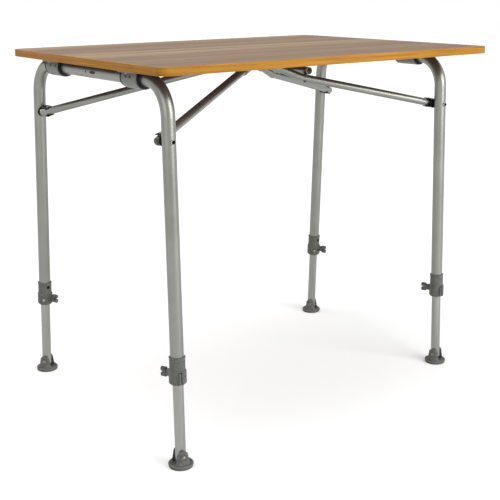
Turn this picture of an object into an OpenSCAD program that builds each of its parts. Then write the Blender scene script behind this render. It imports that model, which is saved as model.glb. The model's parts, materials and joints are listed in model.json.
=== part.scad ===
// Folding camping table: a board on two bent tube frames that fold under it,
// with telescoping legs, tilting feet and two V-shaped braces.
// Millimetres. The origin is on the floor under the middle of the board, +Z up,
// +X along the long side. "left" is -X and "back" is +Y.

/* [Board] */
// Length of the board with its edging
board_l = 800; // [760:5:900]
// Width of the board with its edging
board_w = 600; // [590:5:700]
// Thickness of the board
board_t = 14.5; // [12:0.5:20]
// Height of the board's top above the floor
table_h = 725; // [715:1:760]
// Outer radius of the board's corners
corner_r = 18; // [8:1:70]
// Thickness of the edging
edging_t = 2.5; // [2:0.1:5]
// Rounding of the edging's outer edges
edging_r = 1; // [0.5:0.1:2]
// Gap between the board and its edging
edging_fit = 0.05; // [0.02:0.01:0.2]

/* [Bent frames] */
// Outer radius of the bent upper tube
upper_r = 12.5; // [11.5:0.1:13]
// Wall of the bent upper tube
upper_wall = 1.3; // [1:0.1:1.5]
// Radius of the bend between the cross tube and a leg, on the tube's axis
bend_r = 62; // [50:1:66]
// Distance of the cross tubes' axes below the board
hinge_drop = 14.5; // [14:0.1:18]
// Distance of the left cross tube from the middle
left_hinge_x = 362.2; // [350:0.1:364]
// Distance of the right cross tube from the middle
right_hinge_x = 368.5; // [350:0.1:371]
// Distance of the left legs from the middle at the floor, along X
left_foot_x = 376.3; // [350:0.1:376.4]
// Distance of the right legs from the middle at the floor, along X
right_foot_x = 366.1; // [350:0.1:376]
// Distance of the left legs from the middle at the hinge, along Y
left_hinge_y = 254.8; // [252:0.1:262]
// Distance of the right legs from the middle at the hinge, along Y
right_hinge_y = 196.7; // [193:0.1:205]
// Distance of the left legs from the middle at the floor, along Y
left_foot_y = 287.9; // [280:0.1:295]
// Distance of the right legs from the middle at the floor, along Y
right_foot_y = 225.5; // [215:0.1:228]
// Radius of the vent hole in the left cross tube
vent_r = 2; // [1:0.1:3]
// Distance of the vent hole from the middle
vent_y = 17; // [0:1:60]

/* [Hinge clamps] */
// Length of a clamp along the cross tube
clamp_l = 56; // [40:1:60]
// Outer radius of a clamp's barrel
clamp_r = 18.5; // [17:0.1:20]
// Distance of the left clamps' inner ends from the middle
left_clamp_y = 127; // [110:1:130]
// Distance of the right clamps' inner ends from the middle
right_clamp_y = 77; // [60:1:80]
// Half width of a clamp's flange under the board
flange_w = 26; // [24:0.5:27]
// Thickness of a clamp's flange
flange_t = 4; // [3:0.1:5]
// Chamfer at a clamp's ends
clamp_chamfer = 3; // [1:0.5:4]
// Width of a clamp's opening towards the board
saddle_w = 16; // [10:1:20]
// Wall of the bush between a clamp and the tube
bush_wall = 1.3; // [1:0.05:1.35]
// Running gap between the tube and its bush
bush_gap = 0.3; // [0.3:0.05:0.5]
// Radius of a bush's collar
collar_r = 18; // [16.5:0.1:20]
// Thickness of a bush's collar
collar_t = 2.4; // [1.5:0.1:3]

/* [Screws under the board] */
// Radius of a screw's shank
screw_r = 1.9; // [1.5:0.1:2.5]
// Radius of a screw's head
screw_head_r = 3.6; // [3:0.1:4]
// Height of a screw's head
screw_head_h = 2; // [1.5:0.1:2.5]
// Depth of a screw in the board
screw_depth = 8; // [5:0.5:9]
// Distance of the clamp screws from the tube's axis
clamp_screw_x = 21.6; // [21.2:0.1:22.2]
// Gap round a screw or rivet in its hole
pin_fit = 0.05; // [0.02:0.01:0.1]

/* [Hub under the board] */
// Half length of the hub's plate, along X
hub_x = 24; // [22:0.5:26]
// Half width of the hub's plate, along Y
hub_y = 33; // [31:0.5:40]
// Thickness of the hub's sheet
hub_t = 2; // [1.5:0.1:2.5]
// Distance between the outer faces of the hub's two lugs
hub_span = 46; // [45:0.5:48]
// Half length of a lug, along X
lug_x = 20; // [19:0.5:22]
// Distance of a hub pin from the middle
hub_pin_x = 12; // [11:0.1:13]
// Distance of the hub pins below the board
hub_pin_drop = 10.5; // [10:0.1:12]
// Radius of a hub pin
hub_pin_r = 3; // [2.5:0.1:3.5]
// Radius of a hub pin's heads
hub_head_r = 4.4; // [4:0.1:5]
// Radius of a yoke's barrel on its hub pin
barrel_r = 5.6; // [5:0.1:6]
// Running gap of a yoke on its pin
yoke_gap = 0.07; // [0.02:0.01:0.1]

/* [Braces] */
// Outer radius of a brace tube
brace_r = 8; // [7:0.1:8.5]
// Wall of a brace tube
brace_wall = 1.2; // [1:0.1:1.5]
// Depth below the board's top at which the braces meet the legs
brace_drop = 128; // [125:1:140]
// Distance of a left brace's axis inside its leg's axis
left_inset = 28; // [27.5:0.1:32]
// Distance of a right brace's axis inside its leg's axis
right_inset = 27.5; // [27:0.1:32]
// Length of a brace past the leg's axis
brace_over = 10; // [3:0.1:12]
// Length of a socket in a yoke
socket_l = 28; // [22:1:34]
// Wall of a socket in a yoke
socket_wall = 2.4; // [2:0.1:3]
// Thickness of a yoke's web
web_t = 6; // [4:0.5:8]
// Place on the right braces, along X, where the grip bar sits
grip_x = 104; // [101:0.5:130]
// Half length of the grip bar
grip_l = 66; // [62:0.5:80]
// Length of an end plug inside its tube
plug_l = 6; // [4:0.5:7]
// Height of an end plug's dome
plug_dome = 2.2; // [1:0.1:3]

/* [Leg brackets] */
// Thickness of a bracket's sheet
plate_t = 1.5; // [1.2:0.1:2]
// Gap between a bracket and its leg
plate_gap = 1.6; // [1.5:0.1:2]
// Length of a bracket inboard of the leg's axis
bracket_in = 13; // [12:0.5:30]
// Length of a bracket outboard of the leg's axis
bracket_out = 12; // [11:0.5:18]
// Reach of a bracket's flanges over the tube
bracket_reach = 23.5; // [20:0.5:26]
// Gap between a bracket's flanges and its brace
bracket_fit = 0.2; // [0.1:0.05:0.4]
// Distance of a bracket's rivet inboard of the leg's axis
bracket_rivet_x = 7; // [6:0.5:9]
// Radius of a rivet's shank
rivet_r = 2; // [1.5:0.1:2.5]
// Radius of a rivet's head
rivet_head_r = 3.6; // [3:0.1:4.5]
// Height of a rivet's head
rivet_head_h = 1.4; // [1:0.1:2]
// Radius of a leg bolt
bolt_r = 2.5; // [2:0.1:3]
// Radius of a leg bolt's head
bolt_head_r = 4.4; // [4:0.1:5]
// Height of a leg bolt's head
bolt_head_h = 2.6; // [2:0.1:3.5]

/* [Leg locks] */
// Height of a lock's lower end above the floor
lock_z = 161; // [150:1:170]
// Height of the lock's lower collar
lock_collar_h = 27; // [24:0.5:32]
// Height of the lock's upper sleeve
lock_sleeve_h = 25; // [20:0.5:32]
// Outer radius of the lower collar
lock_collar_r = 16.3; // [15.5:0.1:17]
// Outer radius of the upper sleeve
lock_sleeve_r = 14.6; // [14.4:0.1:15]
// Width of the split in the collar
split_w = 1.8; // [1:0.1:3]
// Reach of the two ribs beside the split
rib_reach = 3.6; // [2:0.1:4]
// Height of the knob above the lock's lower end
knob_up = 18; // [15:0.5:19]
// Radius of the boss that holds the knob's stud
knob_boss_r = 7.2; // [6:0.1:8]
// Reach of that boss from the leg's axis
knob_boss_x = 21.5; // [20:0.1:24]
// Radius of the knob's stud
stud_r = 2.5; // [2:0.1:3]
// Gap between the knob and its boss
knob_gap = 0.8; // [0.5:0.1:1.5]
// Radius of the knob's hub
knob_r = 6.4; // [6:0.1:8]
// Length of the knob
knob_l = 13; // [10:0.5:16]
// Half span of the knob's two lobes
wing_reach = 9.5; // [8:0.5:14]
// Width of the groove between the lobes
groove_w = 2.6; // [1.5:0.1:4]
// Depth of that groove
groove_d = 5; // [3:0.5:6]
// Reach of the round boss on the collar
boss_reach = 3; // [1.5:0.1:4]
// Turn of the back locks round their legs, knob from +X
back_lock_turn = -68; // [-90:1:-45]
// Turn of the front locks round their legs, knob from +X
front_lock_turn = 112; // [90:1:135]

/* [Lower tubes and feet] */
// Outer radius of a lower tube
lower_r = 10; // [9.5:0.1:10.2]
// Wall of a lower tube
lower_wall = 1.2; // [1:0.1:1.5]
// Height of a lower tube's upper end
lower_top = 340; // [300:5:360]
// Sliding gap of a lower tube in its lock
slide_gap = 0.3; // [0.3:0.05:0.4]
// Height of the head of the guide plug
guide_h = 12; // [8:1:20]
// Height of a foot's pin above the floor
foot_pin_z = 22; // [20:0.1:24]
// Distance of a lower tube's end below the foot's pin
tube_below_pin = 7; // [6:0.1:7.5]
// Radius of a foot's base
foot_r = 23.5; // [21:0.1:23.6]
// Thickness of a foot's base under the tube
sole_t = 6.3; // [5:0.1:6.5]
// Height of a foot's rim
rim_h = 8; // [7:0.1:9]
// Radius of a foot's ears round the pin
ear_r = 12; // [11:0.1:13]
// Height of the ears' round end above the pin
ear_up = 0.5; // [0:0.1:4]
// Gap between a foot's ear and the tube
ear_gap = 0.75; // [0.3:0.05:1]
// Reach of a foot's boss from the leg's axis
foot_boss_x = 17.2; // [16.5:0.1:18]
// Radius of a foot's pin
foot_pin_r = 3; // [2.5:0.1:3.2]
// Running gap of a foot on its pin
foot_gap = 0.08; // [0.02:0.01:0.1]
// Turn of the left back foot's pin from +X
left_back_foot_turn = 222; // [0:1:360]
// Turn of the left front foot's pin from +X
left_front_foot_turn = 257; // [0:1:360]
// Turn of the right back foot's pin from +X
right_back_foot_turn = 216; // [0:1:360]
// Turn of the right front foot's pin from +X
right_front_foot_turn = 200; // [0:1:360]

/* [Hidden] */
$fn = 48;
left = -1;
right = 1;
front = -1;
back = 1;
under_z = table_h - board_t;
hinge_z = under_z - hinge_drop;
hub_pin_z = under_z - hub_pin_drop;
brace_z = table_h - brace_drop;
step_z = lock_z + lock_collar_h;
lock_top = step_z + lock_sleeve_h;
knob_z = lock_z + knob_up;
lug_in = hub_span / 2 - hub_t;
// Points that the braces' axes run through
left_aim = [14, 11, under_z - 7.5];
right_knee = [97, 53, under_z - 49.5];
right_aim = [hub_pin_x, 16, hub_pin_z - 0.2];
knee_bend_r = 40;
// Lap and step where a straight stretch of tube meets a bend
bend_lap = 0.4;
bend_step = 0.02;
// Where the sockets start, along X from the hub's middle
socket_x = hub_x + 9;
// Features of a lock, turned from its knob
split_turn = 148;
boss_turn = -56;
sight_turn = -22;

function unit(v) = v / norm(v);
function hinge_x(side) = side < 0 ? -left_hinge_x : right_hinge_x;
function foot_x(side) = side < 0 ? -left_foot_x : right_foot_x;
function hinge_y(side) = side < 0 ? left_hinge_y : right_hinge_y;
function foot_y(side) = side < 0 ? left_foot_y : right_foot_y;
function inset(side) = side < 0 ? left_inset : right_inset;
function clamp_y(side) = side < 0 ? left_clamp_y : right_clamp_y;
function lock_turn(end) = end > 0 ? back_lock_turn : front_lock_turn;
function foot_turn(side, end) =
    side < 0 ? (end > 0 ? left_back_foot_turn : left_front_foot_turn)
             : (end > 0 ? right_back_foot_turn : right_front_foot_turn);

// Point on a leg's axis at height z
function leg_at(side, end, z) =
    let (k = z / hinge_z)
    [foot_x(side) + (hinge_x(side) - foot_x(side)) * k,
     end * (foot_y(side) + (hinge_y(side) - foot_y(side)) * k), z];

// Point where a brace's axis passes its leg, and the points that it runs through
function brace_root(side, end) = leg_at(side, end, brace_z) - [0, end * inset(side), 0];
function flip(p, end) = [p[0], end * p[1], p[2]];
function brace_next(side, end) =
    side < 0 ? flip([left_aim[0], left_aim[1], left_aim[2]], end) : flip(right_knee, end);
function brace_dir(side, end) = unit(brace_next(side, end) - brace_root(side, end));
function brace_end(side, end) = brace_root(side, end) - brace_over * brace_dir(side, end);
// The last stretch of a brace, into the yoke: a point on it and its direction
function tail_from(side, end) = side < 0 ? brace_root(side, end) : flip(right_knee, end);
function tail_dir(side, end) =
    side < 0 ? brace_dir(side, end) : unit(flip(right_aim, end) - flip(right_knee, end));
// Point on that stretch at a distance x from the hub's middle
function tail_at(side, end, x) =
    let (p = tail_from(side, end), d = tail_dir(side, end)) p + d * (side * x - p[0]) / d[0];
// Tilt and turn of a brace's outer stretch
function brace_pitch(side) =
    let (d = brace_dir(side, back)) atan2(d[2], abs(d[0]));
function brace_yaw(side) =
    let (d = brace_dir(side, back)) atan2(-d[1], norm([d[0], d[2]]));
// Height of the grip bar's axis over the braces, and its place
grip_lift = 2 * brace_r + pin_fit;
function grip_seat(end) =
    let (p = brace_root(right, end), d = brace_dir(right, end)) p + d * (grip_x - p[0]) / d[0];
grip_at = [grip_seat(back)[0] + grip_lift * sin(brace_pitch(right)), 0,
           grip_seat(back)[2] + grip_lift * cos(brace_pitch(right))];

// A straight round bar from a to b
module bar(a, b, r) {
    d = b - a;
    translate(a)
        rotate([0, acos(d[2] / norm(d)), atan2(d[1], d[0])])
            cylinder(h = norm(d), r = r);
}

// The round bend of a bar at p, from direction u to direction v
module elbow(p, u, v, bend, r) {
    turn = acos(u * v);
    inward = unit(v - (v * u) * u);
    side = cross(-inward, u);
    middle = p - u * bend * tan(turn / 2) + inward * bend;
    multmatrix([[-inward[0], u[0], side[0], middle[0]],
                [-inward[1], u[1], side[1], middle[1]],
                [-inward[2], u[2], side[2], middle[2]],
                [0, 0, 0, 1]])
        rotate_extrude(angle = turn) translate([bend, 0]) circle(r = r);
}

// A bar through several points, with round bends between its straight stretches,
// which lap each bend by a hair so that they join as one piece
module bent_bar(points, bend, r) {
    last = len(points) - 1;
    dirs = [for (i = [0:last - 1]) unit(points[i + 1] - points[i])];
    cut = [for (i = [0:last])
        i == 0 || i == last ? 0 : bend * tan(acos(dirs[i - 1] * dirs[i]) / 2) - bend_lap];
    for (i = [0:last - 1])
        bar(points[i] + dirs[i] * cut[i], points[i + 1] - dirs[i] * cut[i + 1], r + bend_step);
    for (i = [1:1:last - 1]) elbow(points[i], dirs[i - 1], dirs[i], bend, r);
}

// The same bar as a tube, open at both ends
module bent_tube(points, bend, r, wall) {
    last = len(points) - 1;
    past = 1;
    through = [for (i = [0:last])
        i == 0 ? points[0] - past * unit(points[1] - points[0])
        : i == last ? points[last] + past * unit(points[last] - points[last - 1])
        : points[i]];
    difference() {
        bent_bar(points, bend, r);
        bent_bar(through, bend, r - wall);
    }
}

// Puts children on a leg's axis: its Z runs up the leg from the floor
module on_leg(side, end) {
    d = unit(leg_at(side, end, hinge_z) - leg_at(side, end, 0));
    translate(leg_at(side, end, 0)) rotate([-asin(d[1]), atan2(d[0], d[2]), 0]) children();
}

// Puts children at a foot's pin, with X along the pin
module at_foot_pin(side, end) {
    translate(leg_at(side, end, foot_pin_z)) rotate([0, 0, foot_turn(side, end)]) children();
}

// Puts children at a brace's root: X runs inboard along it, Y out to the leg
module at_brace(side, end) {
    translate(brace_root(side, end))
        mirror([side > 0 ? 1 : 0, 0, 0]) mirror([0, end < 0 ? 1 : 0, 0])
            rotate([0, -brace_pitch(side), 0]) children();
}

// Puts children at a clamp's middle, on the cross tube's axis
module at_clamp(side, end) {
    translate([hinge_x(side), end * (clamp_y(side) + clamp_l / 2), hinge_z]) children();
}

module rounded_plate(l, w, t, r) {
    linear_extrude(t) {
        square([l - 2 * r, w], center = true);
        square([l, w - 2 * r], center = true);
        for (x = [-1, 1], y = [-1, 1])
            translate([x * (l / 2 - r), y * (w / 2 - r)]) circle(r = r);
    }
}

module along_y(l, r) {
    rotate([90, 0, 0]) cylinder(h = l, r = r, center = true);
}

// Places of the screws under the board
module at_board_screws() {
    for (side = [left, right], end = [front, back], x = [-1, 1])
        translate([hinge_x(side) + x * clamp_screw_x, end * (clamp_y(side) + clamp_l / 2),
                   under_z - flange_t]) children();
    for (x = [-1, 1], y = [-1, 1])
        translate([x * (hub_x - 7), y * (hub_y - 5), under_z - hub_t]) children();
}

module board() {
    color("rosybrown")
        difference() {
            translate([0, 0, under_z])
                rounded_plate(board_l - 2 * (edging_t + edging_fit),
                              board_w - 2 * (edging_t + edging_fit),
                              board_t, corner_r - edging_t - edging_fit);
            at_board_screws() cylinder(h = flange_t + screw_depth + 0.4, r = screw_r + pin_fit);
        }
}

// Section of the edging, with its inner face on the Y axis
module edging_section() {
    square([edging_t - edging_r, board_t]);
    translate([0, edging_r]) square([edging_t, board_t - 2 * edging_r]);
    intersection() {
        square([edging_t, board_t]);
        for (z = [edging_r, board_t - edging_r])
            translate([edging_t - edging_r, z]) circle(r = edging_r);
    }
}

module edging() {
    long = board_l - 2 * corner_r;
    short = board_w - 2 * corner_r;
    color("goldenrod") translate([0, 0, under_z]) {
        for (i = [0:3])
            translate([(i == 0 || i == 3 ? 1 : -1) * long / 2, (i < 2 ? 1 : -1) * short / 2, 0])
                rotate([0, 0, 90 * i]) rotate_extrude(angle = 90)
                    translate([corner_r - edging_t, 0]) edging_section();
        for (i = [0:3]) {
            run = i % 2 == 0 ? short : long;
            out = (i % 2 == 0 ? board_l : board_w) / 2 - edging_t;
            rotate([0, 0, 90 * i]) translate([out, run / 2, 0])
                rotate([90, 0, 0]) linear_extrude(run) edging_section();
        }
    }
}

module clamp(side, end) {
    half = clamp_l / 2;
    color("dimgray") at_clamp(side, end)
        difference() {
            union() {
                intersection() {
                    rotate([90, 0, 0]) rotate_extrude()
                        polygon([[0, -half], [clamp_r - clamp_chamfer / 2, -half],
                                 [clamp_r, clamp_chamfer - half], [clamp_r, half - clamp_chamfer],
                                 [clamp_r - clamp_chamfer / 2, half], [0, half]]);
                    translate([0, 0, hinge_drop - 2 * clamp_r])
                        cube([4 * clamp_r, clamp_l, 4 * clamp_r], center = true);
                }
                translate([0, 0, hinge_drop - flange_t])
                    rounded_plate(2 * flange_w, clamp_l, flange_t, 6);
                translate([-clamp_r + 2, -half + 2, 4])
                    cube([2 * clamp_r - 4, clamp_l - 4, hinge_drop - 4]);
            }
            along_y(clamp_l + 2, upper_r + bush_gap + bush_wall + pin_fit);
            // The barrel is open towards the board
            translate([-saddle_w / 2, -half - 1, 0]) cube([saddle_w, clamp_l + 2, hinge_drop + 1]);
            for (x = [-1, 1]) translate([x * clamp_screw_x, 0, hinge_drop - flange_t - 1])
                cylinder(h = flange_t + 2, r = screw_r + pin_fit);
        }
}

module bush(side, end) {
    color("black") at_clamp(side, end)
        difference() {
            union() {
                along_y(clamp_l, upper_r + bush_gap + bush_wall);
                intersection() {
                    for (y = [-1, 1])
                        translate([0, y * (clamp_l + collar_t) / 2, 0]) along_y(collar_t, collar_r);
                    translate([0, 0, hinge_drop - bush_gap - 2 * collar_r])
                        cube([4 * collar_r, 2 * clamp_l, 4 * collar_r], center = true);
                }
            }
            along_y(2 * clamp_l, upper_r + bush_gap);
        }
}

module board_screws() {
    color("gray") at_board_screws() {
        cylinder(h = flange_t + screw_depth, r = screw_r);
        rotate_extrude() intersection() {
            translate([0, -screw_head_h]) square([screw_head_r, screw_head_h]);
            translate([0, screw_head_r - screw_head_h]) circle(r = screw_head_r);
        }
    }
}

module hub_bracket() {
    lug_bottom = hub_pin_z - hub_head_r - 2;
    color("darkgray")
        difference() {
            union() {
                translate([0, 0, under_z - hub_t]) rounded_plate(2 * hub_x, 2 * hub_y, hub_t, 5);
                for (y = [-1, 1]) translate([0, y * (hub_span - hub_t) / 2, 0]) {
                    translate([-lug_x, -hub_t / 2, hub_pin_z])
                        cube([2 * lug_x, hub_t, under_z - hub_t - hub_pin_z]);
                    translate([-lug_x + 8, -hub_t / 2, lug_bottom])
                        cube([2 * lug_x - 16, hub_t, hub_pin_z - lug_bottom]);
                    for (x = [-1, 1]) translate([x * hub_pin_x, 0, hub_pin_z])
                        along_y(hub_t, hub_pin_z - lug_bottom);
                }
            }
            for (x = [-1, 1]) translate([x * hub_pin_x, 0, hub_pin_z])
                along_y(hub_span + 2, hub_pin_r + pin_fit);
            for (x = [-1, 1], y = [-1, 1])
                translate([x * (hub_x - 7), y * (hub_y - 5), under_z - hub_t - 1])
                    cylinder(h = hub_t + 2, r = screw_r + pin_fit);
        }
}

module hub_pins() {
    head_t = 1.6;
    color("silver") for (x = [-1, 1]) translate([x * hub_pin_x, 0, hub_pin_z]) {
        along_y(hub_span + 1, hub_pin_r);
        for (y = [-1, 1]) translate([0, y * (hub_span + head_t) / 2 + y * 0.1, 0])
            along_y(head_t, hub_head_r);
    }
}

module frame_tube(side) {
    color("silver")
        difference() {
            bent_tube([leg_at(side, front, step_z), [hinge_x(side), -hinge_y(side), hinge_z],
                       [hinge_x(side), hinge_y(side), hinge_z], leg_at(side, back, step_z)],
                      bend_r, upper_r, upper_wall);
            for (end = [front, back]) translate(leg_at(side, end, brace_z))
                along_y(4 * upper_r, bolt_r + pin_fit);
            if (side == left) translate([hinge_x(left), vent_y, hinge_z])
                rotate([0, -90, 0]) cylinder(h = 2 * upper_r, r = vent_r);
        }
}

module leg_bolts(side) {
    color("darkslategray") for (end = [front, back])
        translate(leg_at(side, end, brace_z)) rotate([end * -90, 0, 0]) {
            translate([0, 0, -upper_r + 0.4]) cylinder(h = 2 * upper_r, r = bolt_r);
            translate([0, 0, upper_r + 0.2]) rotate_extrude() intersection() {
                square([bolt_head_r, bolt_head_h]);
                translate([0, bolt_head_h - bolt_head_r - 1]) circle(r = bolt_head_r + 1);
            }
        }
}

module lock(side, end) {
    lip = 1.4;
    bevel = 3;
    color("gray") on_leg(side, end) rotate([0, 0, lock_turn(end)])
        difference() {
            union() {
                rotate_extrude() polygon([
                    [0, lock_z], [lock_collar_r - bevel, lock_z], [lock_collar_r, lock_z + bevel],
                    [lock_collar_r, step_z - lip], [lock_collar_r - lip, step_z],
                    [lock_sleeve_r, step_z], [lock_sleeve_r, lock_top - 2 * lip],
                    [lock_sleeve_r + lip / 2, lock_top - 1.6 * lip],
                    [lock_sleeve_r + lip / 2, lock_top - lip / 2],
                    [lock_sleeve_r - lip / 2, lock_top], [0, lock_top]]);
                translate([0, 0, knob_z]) rotate([0, 90, 0])
                    cylinder(h = knob_boss_x, r = knob_boss_r);
                rotate([0, 0, boss_turn]) translate([0, 0, lock_z + lock_collar_h / 2])
                    rotate([0, 90, 0]) cylinder(h = lock_collar_r + boss_reach, r = knob_boss_r);
                rotate([0, 0, split_turn]) for (y = [-1, 1])
                    translate([lower_r + slide_gap + 1, y * (split_w / 2 + 1.6) - 1.6, lock_z + bevel])
                        cube([lock_collar_r + rib_reach - lower_r - slide_gap - 1, 3.2,
                              lock_collar_h - 2 * bevel]);
            }
            translate([0, 0, lock_z - 1])
                cylinder(h = lock_collar_h + 2, r = lower_r + slide_gap);
            translate([0, 0, step_z]) cylinder(h = lock_sleeve_h + 1, r = upper_r + pin_fit);
            rotate([0, 0, split_turn]) translate([0, -split_w / 2, lock_z - 1])
                cube([2 * lock_collar_r, split_w, lock_collar_h]);
            translate([0, 0, knob_z]) rotate([0, 90, 0])
                cylinder(h = knob_boss_x + 1, r = stud_r + pin_fit);
            rotate([0, 0, boss_turn])
                translate([lock_collar_r + boss_reach / 2, 0, lock_z + lock_collar_h / 2])
                    rotate([0, 90, 0]) difference() {
                        cylinder(h = boss_reach, r = knob_boss_r - 1.6);
                        translate([0, 0, -1]) cylinder(h = boss_reach + 2, r = knob_boss_r - 3.4);
                    }
            rotate([0, 0, sight_turn]) translate([0, 0, lock_top - 10]) rotate([0, 90, 0])
                cylinder(h = 2 * lock_sleeve_r, r = 2);
        }
}

// A knob's place: X runs out of the lock along the stud
module at_knob(side, end) {
    on_leg(side, end) rotate([0, 0, lock_turn(end)]) translate([0, 0, knob_z]) children();
}

module knob(side, end) {
    start = knob_boss_x + knob_gap;
    lobe_r = 4.2;
    disc_l = knob_l / 2;
    color("darkslategray") at_knob(side, end) translate([start, 0, 0]) rotate([0, 90, 0])
        difference() {
            union() {
                rotate_extrude() polygon([[0, 0], [knob_r - 1, 0], [knob_r, 1],
                                          [knob_r, disc_l], [knob_r - 1.5, disc_l + 1],
                                          [0, disc_l + 1]]);
                translate([0, 0, 3]) linear_extrude(knob_l - 3) {
                    for (x = [-1, 1]) translate([x * (wing_reach - lobe_r), 0]) circle(r = lobe_r);
                    square([2 * (wing_reach - lobe_r), 2 * lobe_r - 2], center = true);
                }
            }
            translate([0, 0, knob_l]) cube([groove_w, 3 * knob_r, 2 * groove_d], center = true);
            translate([0, 0, -1]) cylinder(h = 8, r = stud_r + 0.02);
        }
}

module stud(side, end) {
    color("silver") at_knob(side, end) translate([lower_r + 0.4, 0, 0]) rotate([0, 90, 0])
        cylinder(h = knob_boss_x + knob_gap + 6.5 - lower_r, r = stud_r);
}

module lower_tube(side, end) {
    color("lightgray")
        difference() {
            on_leg(side, end) translate([0, 0, foot_pin_z - tube_below_pin]) difference() {
                cylinder(h = lower_top - foot_pin_z + tube_below_pin, r = lower_r);
                translate([0, 0, -1])
                    cylinder(h = lower_top - foot_pin_z + tube_below_pin + 2,
                             r = lower_r - lower_wall);
            }
            at_foot_pin(side, end) rotate([0, 90, 0])
                cylinder(h = 4 * lower_r, r = foot_pin_r + 0.02, center = true);
        }
}

module guide(side, end) {
    inner_r = lower_r - lower_wall;
    color("white") on_leg(side, end) translate([0, 0, lower_top]) rotate_extrude()
        polygon([[inner_r - 2, -14], [inner_r - pin_fit, -14], [inner_r - pin_fit, 0],
                 [upper_r - upper_wall - slide_gap, 0],
                 [upper_r - upper_wall - slide_gap, guide_h - 1.5],
                 [upper_r - upper_wall - slide_gap - 1.5, guide_h], [inner_r - 2, guide_h]]);
}

module foot(side, end) {
    slot_w = 2 * (lower_r + ear_gap);
    color("slategray") translate([0, 0, -foot_pin_z]) at_foot_pin(side, end)
        difference() {
            union() {
                rotate_extrude() {
                    polygon([[0, 0], [foot_r - 1.6, 0], [foot_r - 0.8, 0.8], [foot_r - 0.8, 2.8],
                             [foot_r - 1.8, 3.4], [foot_r - 1.8, 4], [foot_r, 4.6],
                             [foot_r, rim_h - 1.6], [foot_r - 1.2, rim_h - 0.3],
                             [foot_r - 2.6, rim_h], [foot_r - 4, rim_h - 0.6],
                             [foot_r - 4.8, sole_t + 0.3], [0, sole_t + 0.3]]);
                }
                intersection() {
                    rotate_extrude() polygon([[0, 1], [foot_r - 4.5, 1], [foot_r - 4.5, sole_t],
                                              [foot_boss_x - 0.6, sole_t + 8],
                                              [foot_boss_x - 3, foot_pin_z + ear_up + ear_r],
                                              [0, foot_pin_z + ear_up + ear_r]]);
                    rotate([90, 0, 90]) linear_extrude(4 * foot_r, center = true) {
                        translate([0, foot_pin_z + ear_up]) circle(r = ear_r);
                        polygon([[-ear_r - 5, 2], [ear_r + 5, 2], [ear_r + 5, sole_t + 1],
                                 [ear_r, foot_pin_z + ear_up], [-ear_r, foot_pin_z + ear_up],
                                 [-ear_r - 5, sole_t + 1]]);
                    }
                }
                translate([0, 0, foot_pin_z]) rotate([0, 90, 0])
                    cylinder(h = 2 * foot_boss_x, r = 2 * foot_pin_r, center = true);
            }
            translate([-slot_w / 2, -foot_r - 1, rim_h + 1]) cube([slot_w, 2 * foot_r + 2, 2 * foot_r]);
            translate([-slot_w / 2, -lower_r - 3.4, sole_t])
                cube([slot_w, 2 * (lower_r + 3.4), 2 * foot_r]);
            translate([0, 0, foot_pin_z]) rotate([0, 90, 0])
                cylinder(h = 4 * foot_r, r = foot_pin_r + foot_gap, center = true);
        }
}

module foot_pin(side, end) {
    head_r = foot_pin_r + 1.7;
    color("khaki") at_foot_pin(side, end) rotate([0, 90, 0]) {
        cylinder(h = 2 * (foot_boss_x + 1), r = foot_pin_r, center = true);
        for (z = [0, 1]) mirror([0, 0, z]) translate([0, 0, foot_boss_x + 0.3])
            rotate_extrude() intersection() {
                square([head_r, 1.6]);
                translate([0, 1.6 - head_r - 1]) circle(r = head_r + 1);
            }
    }
}

// Rivet through a bar of half height r, along Z, with its heads on both sides
module rivet(r, reach) {
    translate([0, 0, -r]) cylinder(h = r + reach, r = rivet_r);
    translate([0, 0, -r]) mirror([0, 0, 1]) rivet_head();
}

module rivet_head() {
    rotate_extrude() intersection() {
        square([rivet_head_r, rivet_head_h]);
        translate([0, rivet_head_h - rivet_head_r - 0.6]) circle(r = rivet_head_r + 0.6);
    }
}

// Places of the rivets: in a bracket, in a socket, and under the grip bar
module at_bracket_rivet(side, end) {
    at_brace(side, end) rotate([0, 0, -brace_yaw(side)])
        translate([bracket_rivet_x, 0, 0]) children();
}

module at_socket_rivet(side, end) {
    d = tail_dir(side, end);
    translate(tail_at(side, end, socket_x + socket_l / 2)) rotate([0, atan(-d[2] / d[0]), 0])
        children();
}

module at_grip_rivet(end) {
    translate(grip_seat(end)) rotate([0, brace_pitch(right), 0]) children();
}

module brace(side, end) {
    inner = tail_at(side, end, socket_x + 2);
    hole = rivet_r + pin_fit;
    color("silver")
        difference() {
            if (side == left)
                bent_tube([brace_end(side, end), inner], knee_bend_r, brace_r, brace_wall);
            else
                bent_tube([brace_end(side, end), flip(right_knee, end), inner],
                          knee_bend_r, brace_r, brace_wall);
            at_bracket_rivet(side, end) cylinder(h = 4 * brace_r, r = hole, center = true);
            at_socket_rivet(side, end) cylinder(h = 4 * brace_r, r = hole, center = true);
            if (side == right) at_grip_rivet(end)
                cylinder(h = 4 * brace_r, r = hole, center = true);
        }
}

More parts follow.
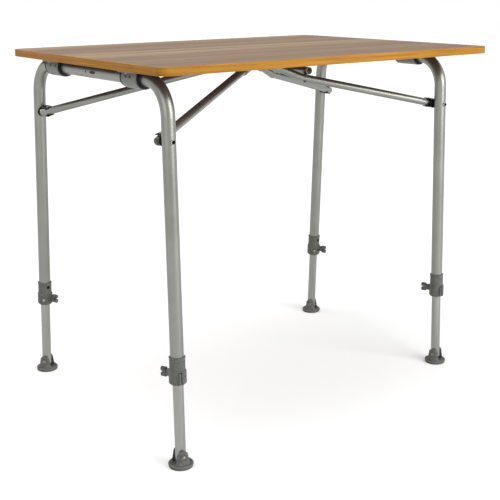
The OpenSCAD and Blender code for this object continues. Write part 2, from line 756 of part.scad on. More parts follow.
module yoke(side) {
    bore_r = brace_r + pin_fit;
    outer_r = brace_r + socket_wall;
    near = [for (end = [front, back]) tail_at(side, end, socket_x)];
    far = [for (end = [front, back]) near[end < 0 ? 0 : 1] - tail_dir(side, end) * socket_l];
    // The web lies in the plane of the two sockets
    slope = atan2(near[1][2] - far[1][2], abs(near[1][0] - far[1][0]));
    // Half widths of the web: between the lugs, past them, and at the sockets
    spots = [for (x = [hub_pin_x, lug_x + 1, socket_x + 4, socket_x + socket_l * 0.7])
        [(x - hub_pin_x) / cos(slope),
         x > lug_x + 1 ? tail_at(side, back, x)[1] : x > hub_pin_x ? lug_in - 2 : lug_in - 4]];
    color("dimgray")
        difference() {
            union() {
                translate([side * hub_pin_x, 0, hub_pin_z]) along_y(2 * lug_in - 0.8, barrel_r);
                for (i = [0, 1]) bar(near[i], far[i], outer_r);
                translate([side * hub_pin_x, 0, tail_at(side, back, hub_pin_x)[2]])
                    mirror([side < 0 ? 1 : 0, 0, 0]) rotate([0, slope, 0])
                        linear_extrude(web_t, center = true)
                            polygon(concat(spots, [for (i = [3:-1:0]) [spots[i][0], -spots[i][1]]]));
            }
            translate([side * hub_pin_x, 0, hub_pin_z]) along_y(2 * hub_span, hub_pin_r + yoke_gap);
            for (i = [0, 1], end = i == 0 ? front : back) {
                d = tail_dir(side, end);
                bar(tail_at(side, end, socket_x + 2) + d * 0.2, far[i] - d * 2, bore_r);
                at_socket_rivet(side, end)
                    cylinder(h = 4 * outer_r, r = rivet_r + pin_fit, center = true);
            }
        }
}

module brackets(side) {
    // The sheet's inner face stands this far from the brace's axis
    face = inset(side) - upper_r - plate_gap - plate_t;
    gap = brace_r + bracket_fit;
    half = gap + plate_t;
    color("black") for (end = [front, back]) at_brace(side, end)
        difference() {
            union() {
                translate([0, face + plate_t, 0]) rotate([90, 0, 0]) linear_extrude(plate_t) {
                    translate([-bracket_out + half, 0]) circle(r = half);
                    translate([-bracket_out + half, -half])
                        square([bracket_in + bracket_out - half, 2 * half]);
                }
                for (z = [-half, gap])
                    translate([-bracket_out + half, face + plate_t - bracket_reach, z])
                        cube([bracket_in + bracket_out - half, bracket_reach, plate_t]);
            }
            rotate([0, 0, -brace_yaw(side)]) translate([bracket_rivet_x, 0, 0])
                cylinder(h = 4 * half, r = rivet_r + pin_fit, center = true);
        }
}

module brace_rivets(side) {
    bracket_half = brace_r + bracket_fit + plate_t + pin_fit;
    socket_half = brace_r + socket_wall + pin_fit;
    color("darkgray") {
        for (end = [front, back]) {
            at_bracket_rivet(side, end) {
                rivet(bracket_half, bracket_half);
                translate([0, 0, bracket_half]) rivet_head();
            }
            at_socket_rivet(side, end) {
                rivet(socket_half, socket_half);
                translate([0, 0, socket_half]) rivet_head();
            }
            if (side == right) at_grip_rivet(end)
                rivet(brace_r + 0.05, grip_lift - brace_r + brace_wall + 1.5);
        }
    }
}

// A plug with its dome in the end of a tube, facing -Z
module end_plug() {
    inner_r = brace_r - brace_wall - pin_fit;
    dome_r = brace_r;
    rotate_extrude() {
        square([inner_r, plug_l]);
        intersection() {
            translate([0, -plug_dome]) square([brace_r, plug_dome]);
            translate([0, dome_r - plug_dome]) circle(r = dome_r);
        }
    }
}

module brace_plugs(side) {
    d = brace_dir(side, back);
    color("darkslategray") {
        for (end = [front, back]) at_brace(side, end) rotate([0, 0, -brace_yaw(side)])
            translate([-brace_over - pin_fit, 0, 0]) rotate([0, 90, 0]) end_plug();
        if (side == right) for (y = [-1, 1]) translate([grip_at[0], y * (grip_l + pin_fit), grip_at[2]])
            rotate([y * 90, 0, 0]) end_plug();
    }
}

module grip_bar() {
    color("silver")
        difference() {
            translate(grip_at) difference() {
                along_y(2 * grip_l, brace_r);
                along_y(2 * grip_l + 2, brace_r - brace_wall);
            }
            for (end = [front, back]) at_grip_rivet(end)
                cylinder(h = grip_lift, r = rivet_r + pin_fit);
        }
}

board();
edging();
clamp(left, back);  // left_back_clamp
clamp(left, front);  // left_front_clamp
clamp(right, back);  // right_back_clamp
clamp(right, front);  // right_front_clamp
bush(left, back);  // left_back_bush
bush(left, front);  // left_front_bush
bush(right, back);  // right_back_bush
bush(right, front);  // right_front_bush
board_screws();
hub_bracket();
hub_pins();
frame_tube(left);  // left_frame_tube
lock(left, back);  // left_back_lock
lock(left, front);  // left_front_lock
leg_bolts(left);  // left_leg_bolts
frame_tube(right);  // right_frame_tube
lock(right, back);  // right_back_lock
lock(right, front);  // right_front_lock
leg_bolts(right);  // right_leg_bolts
knob(left, back);  // left_back_knob
knob(left, front);  // left_front_knob
knob(right, back);  // right_back_knob
knob(right, front);  // right_front_knob
stud(left, back);  // left_back_stud
stud(left, front);  // left_front_stud
stud(right, back);  // right_back_stud
stud(right, front);  // right_front_stud
lower_tube(left, back);  // left_back_tube
lower_tube(left, front);  // left_front_tube
lower_tube(right, back);  // right_back_tube
lower_tube(right, front);  // right_front_tube
guide(left, back);  // left_back_guide
guide(left, front);  // left_front_guide
guide(right, back);  // right_back_guide
guide(right, front);  // right_front_guide
foot(left, back);  // left_back_foot
foot(left, front);  // left_front_foot
foot(right, back);  // right_back_foot
foot(right, front);  // right_front_foot
foot_pin(left, back);  // left_back_pin
foot_pin(left, front);  // left_front_pin
foot_pin(right, back);  // right_back_pin
foot_pin(right, front);  // right_front_pin
brace(left, back);  // left_back_brace
brace(left, front);  // left_front_brace
yoke(left);  // left_yoke
brackets(left);  // left_brackets
brace_rivets(left);  // left_brace_rivets
brace_plugs(left);  // left_brace_plugs
brace(right, back);  // right_back_brace
brace(right, front);  // right_front_brace
yoke(right);  // right_yoke
brackets(right);  // right_brackets
brace_rivets(right);  // right_brace_rivets
brace_plugs(right);  // right_brace_plugs
grip_bar();
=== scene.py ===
"""A folding camping table on four tube legs, dressed in Blender over its CAD frame.

Everything is in metres, with the floor at z = 0 and the board's long side along X."""

import bmesh
import bpy
import json
from math import cos, pi, radians, sin
from mathutils import Matrix, Vector


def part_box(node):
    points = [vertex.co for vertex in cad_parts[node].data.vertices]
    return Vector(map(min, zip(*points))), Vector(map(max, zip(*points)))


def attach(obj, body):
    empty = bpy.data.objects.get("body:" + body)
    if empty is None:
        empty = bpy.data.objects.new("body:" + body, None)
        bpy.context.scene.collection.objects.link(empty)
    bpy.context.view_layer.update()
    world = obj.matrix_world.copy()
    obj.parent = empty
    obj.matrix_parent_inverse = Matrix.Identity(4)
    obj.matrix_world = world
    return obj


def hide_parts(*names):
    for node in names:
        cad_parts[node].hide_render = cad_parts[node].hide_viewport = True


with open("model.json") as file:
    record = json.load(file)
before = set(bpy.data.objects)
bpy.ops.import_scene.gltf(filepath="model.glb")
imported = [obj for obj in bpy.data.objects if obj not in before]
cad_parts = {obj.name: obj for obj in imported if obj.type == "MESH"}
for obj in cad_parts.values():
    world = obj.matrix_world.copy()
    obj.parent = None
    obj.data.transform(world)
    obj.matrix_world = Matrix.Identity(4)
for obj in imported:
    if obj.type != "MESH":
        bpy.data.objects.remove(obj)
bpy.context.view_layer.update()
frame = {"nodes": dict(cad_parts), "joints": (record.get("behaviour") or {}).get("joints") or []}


# ---- Camera ----------------------------------------------------------------
# A studio camera stands off the front left corner, a little above the height
# of the board, so that the top is seen at a grazing angle.

camera_stand = (-1.206282, -1.634174, 0.858921)
camera_yaw = -36.3585
camera_dip = 15.8126
camera_roll = -0.378

camera_data = bpy.data.cameras.new("studio_camera")
camera_data.sensor_width = 36.0
camera_data.lens = 68.366
camera = bpy.data.objects.new("studio_camera", camera_data)
camera.matrix_world = (
    Matrix.Translation(camera_stand)
    @ Matrix.Rotation(radians(camera_yaw), 4, "Z")
    @ Matrix.Rotation(radians(90 - camera_dip), 4, "X")
    @ Matrix.Rotation(radians(camera_roll), 4, "Z")
)
bpy.context.scene.collection.objects.link(camera)
bpy.context.scene.camera = camera
bpy.context.scene.view_settings.view_transform = "Standard"


# ---- Board -----------------------------------------------------------------
# The top is a wood fibre board faced with a printed wood-look laminate, whose
# streaks run along the table. The face is matt, with faint pressed pores.


def new_finish(name, metallic=0.0, specular=0.5):
    """A material with its node tree, its shader and the piece's own coordinates."""
    material = bpy.data.materials.new(name)
    material.use_nodes = True
    tree = material.node_tree
    shader = tree.nodes["Principled BSDF"]
    shader.inputs["Metallic"].default_value = metallic
    shader.inputs["Specular IOR Level"].default_value = specular
    place = tree.nodes.new("ShaderNodeTexCoord").outputs["Object"]
    return material, tree, shader, place


def grain(tree, place, scale, stretch=(1, 1, 1), detail=3.0, roughness=0.5, warp=0.0):
    """Noise at a scale in waves per metre, drawn out along the axes given."""
    mapping = tree.nodes.new("ShaderNodeMapping")
    mapping.inputs["Scale"].default_value = stretch
    tree.links.new(place, mapping.inputs["Vector"])
    noise = tree.nodes.new("ShaderNodeTexNoise")
    noise.inputs["Scale"].default_value = scale
    noise.inputs["Detail"].default_value = detail
    noise.inputs["Roughness"].default_value = roughness
    noise.inputs["Distortion"].default_value = warp
    tree.links.new(mapping.outputs["Vector"], noise.inputs["Vector"])
    return noise.outputs[0]


def own_axis(tree, place, axis):
    """The piece's own X, Y or Z, in metres."""
    parts = tree.nodes.new("ShaderNodeSeparateXYZ")
    tree.links.new(place, parts.inputs["Vector"])
    return parts.outputs[axis]


def between(tree, value, low, high, start=0.3, stop=0.7):
    """The value from start to stop, stretched to run from low to high."""
    reach = tree.nodes.new("ShaderNodeMapRange")
    reach.inputs["From Min"].default_value = start
    reach.inputs["From Max"].default_value = stop
    reach.inputs["To Min"].default_value = low
    reach.inputs["To Max"].default_value = high
    tree.links.new(value, reach.inputs["Value"])
    return reach.outputs["Result"]


def feed(tree, value, socket):
    """Links a node's output to a socket, or sets the socket to a plain value."""
    if isinstance(value, bpy.types.NodeSocket):
        tree.links.new(value, socket)
    else:
        socket.default_value = value


def reckon(tree, operation, first, second):
    """The result of one operation on two values."""
    step = tree.nodes.new("ShaderNodeMath")
    step.operation = operation
    feed(tree, first, step.inputs[0])
    feed(tree, second, step.inputs[1])
    return step.outputs[0]


def tones(tree, value, stops):
    """A colour ramp through (place, red, green, blue) stops."""
    ramp = tree.nodes.new("ShaderNodeValToRGB")
    points = ramp.color_ramp.elements
    while len(points) < len(stops):
        points.new(0.5)
    for point, (at, *colour) in zip(points, stops):
        point.position = at
        point.color = (*colour, 1.0)
    tree.links.new(value, ramp.inputs["Fac"])
    return ramp.outputs["Color"]


def mixed(tree, share, first, second):
    """A colour mixed into the first one, by a share from 0 to 1."""
    mix = tree.nodes.new("ShaderNodeMix")
    mix.data_type = "RGBA"
    # The node has its colours at these sockets, after those for plain numbers
    for socket, value in ((0, share), (6, first), (7, (*second, 1.0))):
        feed(tree, value, mix.inputs[socket])
    return mix.outputs[2]


def roughen(tree, shader, value, low, high):
    """Lets the roughness follow the value."""
    tree.links.new(between(tree, value, low, high), shader.inputs["Roughness"])


def press(tree, shader, height, depth, strength):
    """The surface's fine relief, with its depth in metres."""
    relief = tree.nodes.new("ShaderNodeBump")
    relief.inputs["Strength"].default_value = strength
    relief.inputs["Distance"].default_value = depth
    tree.links.new(height, relief.inputs["Height"])
    tree.links.new(relief.outputs["Normal"], shader.inputs["Normal"])


def cover(material, *names):
    """Gives the CAD nodes of these names the finish."""
    for name in names:
        node = frame["nodes"][name]
        node.data.materials.clear()
        node.data.materials.append(material)


umber = (0.182, 0.117, 0.083)
fawn = (0.280, 0.192, 0.126)
straw = (0.430, 0.318, 0.176)
vein_brown = (0.150, 0.092, 0.068)
pale_streak = (0.340, 0.248, 0.165)
# Painted shade for the board's underside, which the tubes reflect
underside_shade_brown = (0.180, 0.088, 0.054)
underside_shade_depth = 0.001
half_width = 0.3
sway_reach = 0.040

laminate, tree, shader, place = new_finish("streaked_laminate", specular=0.06)
sway = grain(tree, place, 1.0, (1.1, 9, 1), 3, 0.5)
fine = grain(tree, place, 1.0, (5, 210, 1), 5, 0.64, 0.3)
veins = grain(tree, place, 1.0, (1.5, 58, 1), 5, 0.66, 0.7)
flecks = grain(tree, place, 1.0, (16, 420, 1), 2, 0.5)
across = between(tree, own_axis(tree, place, "Y"), 0.0, 1.0, -half_width, half_width)
bands = tones(
    tree,
    reckon(tree, "ADD", across, between(tree, sway, -sway_reach, sway_reach)),
    [
        (0.00, *fawn),
        (0.10, *umber),
        (0.22, *fawn),
        (0.30, *umber),
        (0.40, *fawn),
        (0.49, *straw),
        (0.58, *straw),
        (0.66, *umber),
        (0.76, *fawn),
        (0.86, *umber),
        (0.95, *straw),
    ],
)
veined = mixed(tree, between(tree, veins, -0.30, 1.10), bands, vein_brown)
streaked = mixed(tree, between(tree, fine, -0.15, 0.75), veined, pale_streak)
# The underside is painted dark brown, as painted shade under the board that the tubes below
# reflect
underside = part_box("board")[0].z
shaded_underside = reckon(
    tree, "LESS_THAN", own_axis(tree, place, "Z"), underside + underside_shade_depth
)
sided = mixed(tree, shaded_underside, streaked, underside_shade_brown)
tree.links.new(sided, shader.inputs["Base Color"])
roughen(tree, shader, fine, 0.52, 0.66)
press(tree, shader, flecks, 0.00008, 0.5)
cover(laminate, "board")


# ---- Edging ----------------------------------------------------------------
# A golden wood-look plastic band is glued round the board's rim, with its
# edges rounded over and its grain running along it.

cloud_amber = (0.290, 0.118, 0.012)

honey, tree, shader, place = new_finish("honey_edging", specular=0.12)
lines = grain(tree, place, 1.0, (6, 6, 420), 4, 0.6, 0.5)
clouds = grain(tree, place, 1.0, (14, 14, 60), 3, 0.5)
band = tones(
    tree,
    lines,
    [
        (0.30, 0.255, 0.098, 0.008),
        (0.50, 0.405, 0.178, 0.015),
        (0.70, 0.510, 0.250, 0.030),
    ],
)
shaded = mixed(tree, between(tree, clouds, 0.0, 0.35), band, cloud_amber)
tree.links.new(shaded, shader.inputs["Base Color"])
roughen(tree, shader, lines, 0.38, 0.50)
press(tree, shader, lines, 0.00005, 0.4)
cover(honey, "edging")


# ---- Leg frames and braces ---------------------------------------------------
# Each pair of legs is one bent aluminium tube that turns in clamps under the
# board, and four straight tubes brace the legs. All are satin anodised, with
# faint draw lines along them and a few dull patches from handling.


def tint(tree, shader, value, *stops):
    """Colours the shader by the value, through (place, red, green, blue) stops."""
    tree.links.new(tones(tree, value, stops), shader.inputs["Base Color"])


satin, tree, shader, place = new_finish("satin_tube", metallic=0.85)
drawn = grain(tree, place, 1.0, (900, 900, 14), 3, 0.55)
handled = grain(tree, place, 16.0, detail=4)
tint(
    tree,
    shader,
    handled,
    (0.30, 0.216, 0.220, 0.198),
    (0.55, 0.240, 0.244, 0.222),
    (0.75, 0.264, 0.268, 0.248),
)
roughen(tree, shader, handled, 0.30, 0.38)
press(tree, shader, drawn, 0.00003, 0.35)
cover(satin, "left_frame_tube", "right_frame_tube", "grip_bar")

corners = [(side, end) for side in ("left", "right") for end in ("back", "front")]
for side, end in corners:
    cover(satin, f"{side}_{end}_brace")


# ---- Lower leg tubes ---------------------------------------------------------
# A thinner aluminium tube slides in each leg. It is brighter than the frame,
# with rub marks down it where it runs through the lock. A white nylon guide
# on its upper end keeps it centred.

sleek, tree, shader, place = new_finish("sliding_tube", metallic=0.9)
rubs = grain(tree, place, 1.0, (260, 260, 5), 4, 0.6)
tint(tree, shader, rubs, (0.35, 0.265, 0.268, 0.248), (0.65, 0.315, 0.318, 0.298))
roughen(tree, shader, rubs, 0.30, 0.42)
press(tree, shader, rubs, 0.00003, 0.3)

nylon, tree, shader, place = new_finish("white_nylon")
flow = grain(tree, place, 90.0)
tint(tree, shader, flow, (0.3, 0.66, 0.66, 0.63), (0.7, 0.75, 0.75, 0.72))
roughen(tree, shader, flow, 0.42, 0.55)
for side, end in corners:
    cover(sleek, f"{side}_{end}_tube")
    cover(nylon, f"{side}_{end}_guide")


# ---- Clamps, bushes and locks ------------------------------------------------
# The clamps that carry the frames are moulded in mid grey plastic with a fine
# spark texture, and a bush lines each one, near black as painted shade in the
# gap round the tube. The leg locks are darker, with a coarse mottled face.

mottled, tree, shader, place = new_finish("grey_moulding", specular=0.35)
mottle = grain(tree, place, 330.0, detail=5, roughness=0.7)
tint(tree, shader, mottle, (0.36, 0.070, 0.072, 0.064), (0.64, 0.152, 0.156, 0.141))
roughen(tree, shader, mottle, 0.46, 0.60)
press(tree, shader, mottle, 0.0002, 0.5)

pale_moulded, tree, shader, place = new_finish("pale_moulding")
spark = grain(tree, place, 2600.0, detail=2)
sheen = grain(tree, place, 45.0)
tint(tree, shader, sheen, (0.3, 0.125, 0.128, 0.120), (0.7, 0.185, 0.188, 0.178))
roughen(tree, shader, sheen, 0.38, 0.50)
press(tree, shader, spark, 0.00006, 0.35)

# Near-black painted shade for the bushes, in the gap round each tube
bush_shade_black, tree, shader, place = new_finish("bush_shade_black", specular=0.2)
scuffs = grain(tree, place, 140.0, detail=5)
tint(tree, shader, scuffs, (0.35, 0.010, 0.010, 0.010), (0.72, 0.026, 0.026, 0.026))
roughen(tree, shader, scuffs, 0.42, 0.58)
for side, end in corners:
    cover(pale_moulded, f"{side}_{end}_clamp")
    cover(mottled, f"{side}_{end}_lock")
    cover(bush_shade_black, f"{side}_{end}_bush")


# ---- Knobs and end plugs -----------------------------------------------------
# A two-lobed knob of charcoal plastic tightens each lock on its steel stud.
# Plugs of the same plastic close the open ends of the brace tubes, and the
# grip bar's own caps are near black.

cap_black = (0.022, 0.020, 0.015)
caps_above = 0.65

charcoal, tree, shader, place = new_finish("charcoal_plastic", specular=0.35)
dull = grain(tree, place, 120.0, detail=4)
worn = tones(tree, dull, [(0.36, 0.050, 0.051, 0.046), (0.64, 0.125, 0.127, 0.117)])
# Only the grip bar's caps sit this high
capped = reckon(tree, "GREATER_THAN", own_axis(tree, place, "Z"), caps_above)
tree.links.new(mixed(tree, capped, worn, cap_black), shader.inputs["Base Color"])
roughen(tree, shader, dull, 0.40, 0.54)
press(tree, shader, grain(tree, place, 2200.0, detail=2), 0.00005, 0.3)
cover(charcoal, "left_brace_plugs", "right_brace_plugs")
for side, end in corners:
    cover(charcoal, f"{side}_{end}_knob")


# ---- Brackets ----------------------------------------------------------------
# Pressed steel brackets, coated black, carry the braces' leg ends. The leg
# bolts hold them to the legs.

# The same black also serves as painted shade in the clamps' screw slots
coating_and_slot_shade, tree, shader, place = new_finish("black_coating_and_slot_shade", specular=0.35)
orange_peel = grain(tree, place, 700.0, detail=2)
rubbed = grain(tree, place, 60.0, detail=5)
tint(tree, shader, rubbed, (0.40, 0.014, 0.014, 0.014), (0.78, 0.042, 0.041, 0.040))
roughen(tree, shader, rubbed, 0.30, 0.44)
press(tree, shader, orange_peel, 0.00008, 0.4)
cover(coating_and_slot_shade, "left_brackets", "right_brackets")


# ---- Yokes and hub -----------------------------------------------------------
# The braces meet at two cast aluminium yokes, which swing on a zinc plated
# steel bracket screwed under the middle of the board.

cast, tree, shader, place = new_finish("cast_aluminium", metallic=0.75)
sand = grain(tree, place, 850.0, detail=3)
patches = grain(tree, place, 35.0)
tint(tree, shader, patches, (0.3, 0.230, 0.230, 0.222), (0.7, 0.300, 0.300, 0.290))
roughen(tree, shader, sand, 0.46, 0.62)
press(tree, shader, sand, 0.0001, 0.5)
cover(cast, "left_yoke", "right_yoke")

zinc, tree, shader, place = new_finish("zinc_plating", metallic=1.0)
spangle = grain(tree, place, 130.0, detail=3, warp=0.6)
tint(tree, shader, spangle, (0.3, 0.340, 0.346, 0.350), (0.7, 0.440, 0.444, 0.442))
roughen(tree, shader, spangle, 0.26, 0.42)
cover(zinc, "hub_bracket")


# ---- Pins, studs, rivets and screws ------------------------------------------
# Small fasteners are bright plated steel, apart from the feet's rivets, which
# are brass and have dulled.

plated, tree, shader, place = new_finish("bright_steel", metallic=1.0)
tarnish = grain(tree, place, 420.0, detail=3)
tint(tree, shader, tarnish, (0.3, 0.380, 0.372, 0.340), (0.7, 0.540, 0.530, 0.490))
roughen(tree, shader, tarnish, 0.22, 0.38)
cover(plated, "hub_pins", "board_screws", "left_brace_rivets", "right_brace_rivets")

brass, tree, shader, place = new_finish("dull_brass", metallic=1.0)
stain = grain(tree, place, 380.0, detail=4)
tint(tree, shader, stain, (0.3, 0.130, 0.108, 0.068), (0.7, 0.300, 0.262, 0.180))
roughen(tree, shader, stain, 0.38, 0.52)
for side, end in corners:
    cover(plated, f"{side}_{end}_stud")
    cover(brass, f"{side}_{end}_pin")


# ---- Leg bolts ---------------------------------------------------------------
# A plated steel bolt goes through each leg into its bracket. Its domed head,
# on the leg's outer side, has a hexagon socket whose inside is painted near
# black, as painted shade in its depth.


def add_piece(name, mesh, body, slot, *finishes):
    """Links a finished bmesh as a piece that rides on a body."""
    data = bpy.data.meshes.new(name)
    mesh.to_mesh(data)
    mesh.free()
    for finish in finishes:
        data.materials.append(finish)
    piece = bpy.data.objects.new(name, data)
    bpy.context.scene.collection.objects.link(piece)
    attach(piece, body)
    return piece


def ring_step(mesh, edges, out, up):
    """Extrudes a ring of edges, then scales it by out and lifts it by up."""
    grown = bmesh.ops.extrude_edge_only(mesh, edges=edges)["geom"]
    verts = [v for v in grown if isinstance(v, bmesh.types.BMVert)]
    bmesh.ops.scale(mesh, vec=(out, out, 1.0), verts=verts)
    bmesh.ops.translate(mesh, vec=(0, 0, up), verts=verts)
    return [e for e in grown if isinstance(e, bmesh.types.BMEdge)], verts


# Near-black painted shade for the insides of sockets and holes
dark_recess_shade, tree, shader, place = new_finish("painted_recess_shade", specular=0.08)
shade_speckle = grain(tree, place, 900.0, detail=3)
tint(tree, shader, shade_speckle, (0.3, 0.003, 0.003, 0.003), (0.7, 0.008, 0.008, 0.007))
roughen(tree, shader, shade_speckle, 0.5, 0.7)

shank_radius = 0.0025
shank_length = 0.024
shank_gap = 0.0002
head_radius = 0.0048
head_height = 0.0026
dome_steps = ((1.0, 0.0010), (0.97, 0.0008), (0.95, 0.0005), (0.95, 0.0003))
socket_reach = 0.0036
socket_depth = 0.0022
for side in ("left", "right"):
    low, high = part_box(f"{side}_leg_bolts")
    middle = (low + high) / 2
    mesh = bmesh.new()
    for way in (-1, 1):
        # The shank ends just under the head
        shank = bmesh.ops.create_cone(
            mesh,
            cap_ends=True,
            segments=24,
            radius1=shank_radius,
            radius2=shank_radius,
            depth=shank_length,
        )["verts"]
        sunk = head_height + shank_gap + shank_length / 2
        bmesh.ops.translate(mesh, vec=(0, 0, -sunk), verts=shank)
        # The head rises in rings from its rim to the socket's round edge
        rim = bmesh.ops.create_circle(
            mesh, cap_ends=True, segments=48, radius=head_radius
        )["verts"]
        bmesh.ops.translate(mesh, vec=(0, 0, -head_height), verts=rim)
        ring = list({e for v in rim for e in v.link_edges})
        bolt = set(shank) | set(rim)
        for out, up in dome_steps:
            ring, verts = ring_step(mesh, ring, out, up)
            bolt.update(verts)
        # The next ring is drawn in to a hexagon, and the last is its floor
        ring, verts = ring_step(mesh, ring, 0.999, 0.0)
        for v in verts:
            turn = v.co.xy.angle_signed(Vector((1, 0)))
            flat = v.co.xy.length * cos((turn % (pi / 3)) - pi / 6)
            v.co.xy *= socket_reach / flat
        bolt.update(verts)
        ring, verts = ring_step(mesh, ring, 0.98, -socket_depth)
        bolt.update(verts)
        bmesh.ops.contextual_create(mesh, geom=ring)
        # The socket's walls and floor take the near-black painted shade
        for v in verts:
            for face in v.link_faces:
                face.material_index = 1
        # Each bolt stands on its leg's outer side
        centre = Vector((middle.x, high.y if way > 0 else low.y, middle.z))
        facing = Matrix.Rotation(radians(-90 * way), 4, "X")
        bmesh.ops.transform(
            mesh, matrix=Matrix.Translation(centre) @ facing, verts=list(bolt)
        )
    bmesh.ops.recalc_face_normals(mesh, faces=mesh.faces)
    for face in mesh.faces:
        face.smooth = True
    bolts = add_piece(
        f"{side}_socket_bolts", mesh, f"{side}_frame", "black_steel", plated, dark_recess_shade
    )
    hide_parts(f"{side}_leg_bolts")


# ---- Feet --------------------------------------------------------------------
# Each foot is a dark plastic pad that tilts on a rivet through the lower tube.
# Its rim is scuffed and dusty where it meets the ground.

dust_grey = (0.150, 0.146, 0.136)
dust_height = 0.010

pad, tree, shader, place = new_finish("foot_plastic")
grit = grain(tree, place, 260.0, detail=5, roughness=0.6)
dark = tones(tree, grit, [(0.38, 0.066, 0.068, 0.064), (0.62, 0.138, 0.140, 0.133)])
dust = between(tree, own_axis(tree, place, "Z"), 0.0, 1.0, dust_height, 0.0)
tree.links.new(mixed(tree, dust, dark, dust_grey), shader.inputs["Base Color"])
roughen(tree, shader, grit, 0.50, 0.68)
press(tree, shader, grit, 0.00008, 0.4)
for side, end in corners:
    cover(pad, f"{side}_{end}_foot")


# ---- Vent hole ---------------------------------------------------------------
# A dark brown oval lies thin on the outer side of the left cross tube, near its
# middle: painted shade for the inside of a vent hole.

# Dark brown painted shade for the vent hole
vent_shade_finish, tree, shader, place = new_finish("painted_vent_shade", specular=0.15)
vent_speckle = grain(tree, place, 700.0, detail=3)
tint(tree, shader, vent_speckle, (0.3, 0.045, 0.026, 0.018), (0.7, 0.095, 0.058, 0.042))
roughen(tree, shader, vent_speckle, 0.5, 0.7)
press(tree, shader, vent_speckle, 0.00005, 0.4)

joints_of = {joint["name"]: joint for joint in frame["joints"]}
tube_radius = 0.0125
vent_oval_half_sizes = (0.0029, 0.0112)
vent_oval_steps = ((1.0, 0.0005), (0.86, 0.0003), (0.62, -0.0002))
vent_oval_place = -0.010
vent_oval_sink = 0.0001
hinge = Vector(joints_of["left_fold"]["pos_m"])
mesh = bmesh.new()
bmesh.ops.create_circle(mesh, cap_ends=True, segments=32, radius=1.0)
ring = list(mesh.edges)
for out, up in vent_oval_steps:
    ring, verts = ring_step(mesh, ring, out, up)
bmesh.ops.contextual_create(mesh, geom=ring)
bmesh.ops.scale(mesh, vec=(*vent_oval_half_sizes, 1.0), verts=mesh.verts)
# Wraps the painted vent shade onto the tube, on its side away from the table's middle
for v in mesh.verts:
    turn = pi - v.co.x / tube_radius
    out = tube_radius - vent_oval_sink + v.co.z
    v.co = hinge + Vector((out * cos(turn), vent_oval_place + v.co.y, out * sin(turn)))
bmesh.ops.recalc_face_normals(mesh, faces=mesh.faces)
for face in mesh.faces:
    face.smooth = True
add_piece("vent_oval_shade", mesh, "left_frame", "black_plastic", vent_shade_finish)


# ---- Sight holes -------------------------------------------------------------
# A thin near-black disc stands just proud of each lock's sleeve: painted shade
# for the sight hole in it, where the end of the leg tube can be seen.


def on_leg(side, end, above_knob, turn, out):
    """A point beside a leg's axis, by its height over the knob, and its facing."""
    leg = f"{side}_{end}"
    along = Vector(joints_of[f"{leg}_leg_slide"]["axis"])
    foot_pivot = Vector(joints_of[f"{leg}_foot_tilt"]["pos_m"])
    knob_pivot = Vector(joints_of[f"{leg}_knob_turn"]["pos_m"])
    height = (knob_pivot - foot_pivot).dot(along) + above_knob
    outward = Matrix.Rotation(radians(turn), 3, "Z") @ Vector((1, 0, 0))
    outward = (outward - along * outward.dot(along)).normalized()
    return foot_pivot + along * height + outward * out, outward


def standing(seat, outward):
    """The transform that stands a piece on its seat, with its Z axis outward."""
    turned = outward.to_track_quat("Z", "Y").to_matrix().to_4x4()
    return Matrix.Translation(seat) @ turned


# A thin near-black disc, painted shade for each sight hole
sight_shade_radius = 0.0036
sight_shade_thickness = 0.0009
sight_shade_rounding = 0.0003
sight_shade_above_knob = 0.0235
sight_shade_turn = {"back": -84, "front": 90}
sleeve_face = 0.01455
for side, end in corners:
    mesh = bmesh.new()
    bmesh.ops.create_cone(
        mesh,
        cap_ends=True,
        segments=32,
        radius1=sight_shade_radius,
        radius2=sight_shade_radius,
        depth=sight_shade_thickness,
    )
    top = [e for e in mesh.edges if all(v.co.z > 0 for v in e.verts)]
    bmesh.ops.bevel(
        mesh,
        geom=top,
        offset=sight_shade_rounding,
        segments=3,
        profile=0.5,
        affect="EDGES",
        material=-1,
    )
    seat, outward = on_leg(side, end, sight_shade_above_knob, sight_shade_turn[end], sleeve_face)
    bmesh.ops.transform(mesh, matrix=standing(seat, outward), verts=list(mesh.verts))
    name = f"{side}_{end}_sight_disc_shade"
    add_piece(name, mesh, f"{side}_frame", "black_plastic", dark_recess_shade)


# ---- Small heads -------------------------------------------------------------
# Low domed heads finish the joints: rivets where the braces carry the grip bar,
# the screw in each lock's round boss, and long black heads on the clamps, which
# are painted shade for the recesses of the clamps' screw slots.


crown_steps = ((1.0, 0.55), (0.92, 0.25), (0.70, 0.14), (0.40, 0.06))
rim_sunk = 0.3


def low_dome(mesh, seat, outward, radius, height, stretch=1.0):
    """Adds a low domed head that stands on a surface, with its rim sunk a little."""
    rim = bmesh.ops.create_circle(mesh, cap_ends=True, segments=24, radius=radius)
    head = set(rim["verts"])
    edges = list({e for v in head for e in v.link_edges})
    for out, up in crown_steps:
        edges, verts = ring_step(mesh, edges, out, up * height)
        head.update(verts)
    bmesh.ops.contextual_create(mesh, geom=edges)
    sunk = Matrix.Translation((0, 0, -rim_sunk * height))
    shaped = Matrix.Diagonal((stretch, 1.0, 1.0, 1.0)) @ sunk
    bmesh.ops.transform(
        mesh, matrix=standing(seat, outward) @ shaped, verts=list(head)
    )


def add_heads(name, mesh, body, slot, finish):
    """Adds a mesh of domed heads as one piece, with its crowns left flat."""
    bmesh.ops.recalc_face_normals(mesh, faces=mesh.faces)
    for face in mesh.faces:
        face.smooth = len(face.verts) == 4
    add_piece(name, mesh, body, slot, finish)


bar_rivet_radius = 0.0034
bar_rivet_height = 0.0016
bar_rivet_seat = Vector((0.1011, 0.0588, 0.6524))
bar_rivet_facing = Vector((-0.367, 0.375, -0.851))
mesh = bmesh.new()
for way in (-1, 1):
    mirror = Vector((1, way, 1))
    low_dome(
        mesh,
        bar_rivet_seat * mirror,
        bar_rivet_facing * mirror,
        bar_rivet_radius,
        bar_rivet_height,
    )
add_heads("grip_bar_rivets", mesh, "right_braces", "black_steel", coating_and_slot_shade)

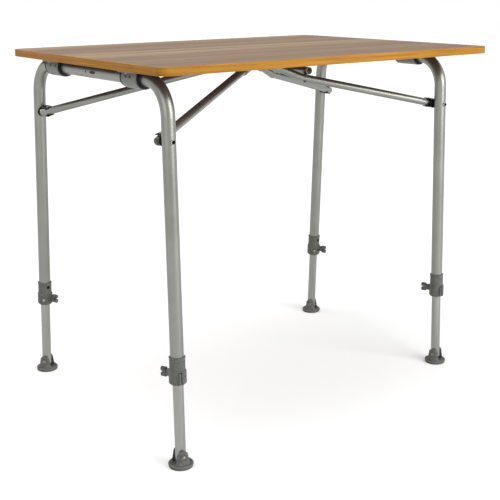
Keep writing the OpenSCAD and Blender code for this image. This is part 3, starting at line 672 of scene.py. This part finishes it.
boss_screw_radius = 0.0036
boss_screw_height = 0.0014
boss_turn = {"back": -124, "front": 56}
boss_face = 0.0193
boss_above_knob = -0.0045
# Sizes of the long black heads painted as shade in the clamps' screw slots
clamp_slot_shade_radius = 0.0021
clamp_slot_shade_height = 0.0012
clamp_slot_shade_stretch = 1.8
clamp_slot_shade_level = 0.6990
clamp_slot_shade_facing = Vector((0.98, 0.0, 0.2))
clamp_half = 0.0182
slot_shade_rows = {"back": (0.159, 0.137), "front": (-0.147, -0.1605)}
for side, end in corners:
    leg = f"{side}_{end}"
    mesh = bmesh.new()
    seat, outward = on_leg(side, end, boss_above_knob, boss_turn[end], boss_face)
    low_dome(mesh, seat, outward, boss_screw_radius, boss_screw_height)
    add_heads(f"{leg}_collar_screw", mesh, f"{side}_frame", "zinc_steel", cast)

    # Black heads on the clamp's outer faces: painted shade for its screw slots' recesses
    way = -1 if side == "left" else 1
    swing = Vector(joints_of[f"{side}_fold"]["pos_m"])
    mesh = bmesh.new()
    for row in slot_shade_rows[end]:
        low_dome(
            mesh,
            (swing.x + way * clamp_half, row, clamp_slot_shade_level),
            clamp_slot_shade_facing * Vector((way, 1, 1)),
            clamp_slot_shade_radius,
            clamp_slot_shade_height,
            clamp_slot_shade_stretch,
        )
    add_heads(f"{leg}_clamp_slot_shades", mesh, "top", "black_steel", coating_and_slot_shade)


# ---- Floor and light ---------------------------------------------------------
# The table stands on a plain white studio floor that runs into a white
# surround. Large soft lamps light it from the front, the left side and above.


def plainly_seen(tree):
    """One for the rays that show the backdrop plainly, and nought for the rest."""
    rays = tree.nodes.new("ShaderNodeLightPath").outputs
    mirrored = reckon(tree, "MAXIMUM", rays["Is Camera Ray"], rays["Is Glossy Ray"])
    return reckon(tree, "MAXIMUM", mirrored, rays["Is Transmission Ray"])


floor_mesh = bpy.data.meshes.new("studio_floor")
sweep = bmesh.new()
bmesh.ops.create_grid(sweep, x_segments=1, y_segments=1, size=12.0)
sweep.to_mesh(floor_mesh)
sweep.free()
floor = bpy.data.objects.new("studio_floor", floor_mesh)
bpy.context.scene.collection.objects.link(floor)

# The floor lifts towards white away from the table, for the rays that see it
floor_lift_near = 0.31
floor_lift_far = 0.75
lift_starts = 0.3
lift_ends = 3.0

paper, tree, shader, place = new_finish("white_floor", specular=0.0)
mottle = grain(tree, place, 40.0, detail=2)
tint(tree, shader, mottle, (0.3, 0.80, 0.80, 0.80), (0.7, 0.82, 0.82, 0.82))
shader.inputs["Roughness"].default_value = 0.9
shader.inputs["Emission Color"].default_value = (1.0, 1.0, 1.0, 1.0)
reach = tree.nodes.new("ShaderNodeVectorMath")
reach.operation = "LENGTH"
tree.links.new(place, reach.inputs[0])
fade = between(
    tree,
    reach.outputs["Value"],
    floor_lift_near,
    floor_lift_far,
    lift_starts,
    lift_ends,
)
lift = reckon(tree, "MULTIPLY", plainly_seen(tree), fade)
tree.links.new(lift, shader.inputs["Emission Strength"])
floor_mesh.materials.append(paper)

# The surround is full white where it is seen, and softer where it lights
surround_light = 0.44
surround_white = 1.0

world = bpy.data.worlds.new("studio_white")
world.use_nodes = True
bpy.context.scene.world = world
tree = world.node_tree
surround = tree.nodes["Background"]
surround.inputs["Color"].default_value = (1.0, 1.0, 1.0, 1.0)
level = between(tree, plainly_seen(tree), surround_light, surround_white, 0.0, 1.0)
tree.links.new(level, surround.inputs["Strength"])


def hang_lamp(name, place, aim, size, power):
    """A square soft lamp hung at a place and aimed at a point."""
    lamp = bpy.data.lights.new(name, "AREA")
    lamp.shape = "SQUARE"
    lamp.size = size
    lamp.energy = power
    hung = bpy.data.objects.new(name, lamp)
    bpy.context.scene.collection.objects.link(hung)
    facing = (Vector(aim) - Vector(place)).to_track_quat("-Z", "Y")
    hung.matrix_world = Matrix.Translation(place) @ facing.to_matrix().to_4x4()


hang_lamp("key_lamp", (0.7, -2.2, 1.35), aim=(0.0, 0.0, 0.5), size=1.8, power=50.0)
hang_lamp("side_lamp", (-2.4, -0.9, 1.3), aim=(0.0, 0.0, 0.6), size=1.4, power=9.0)
hang_lamp("top_lamp", (-0.6, 0.6, 3.0), aim=(0.0, 0.0, 0.6), size=2.2, power=38.0)
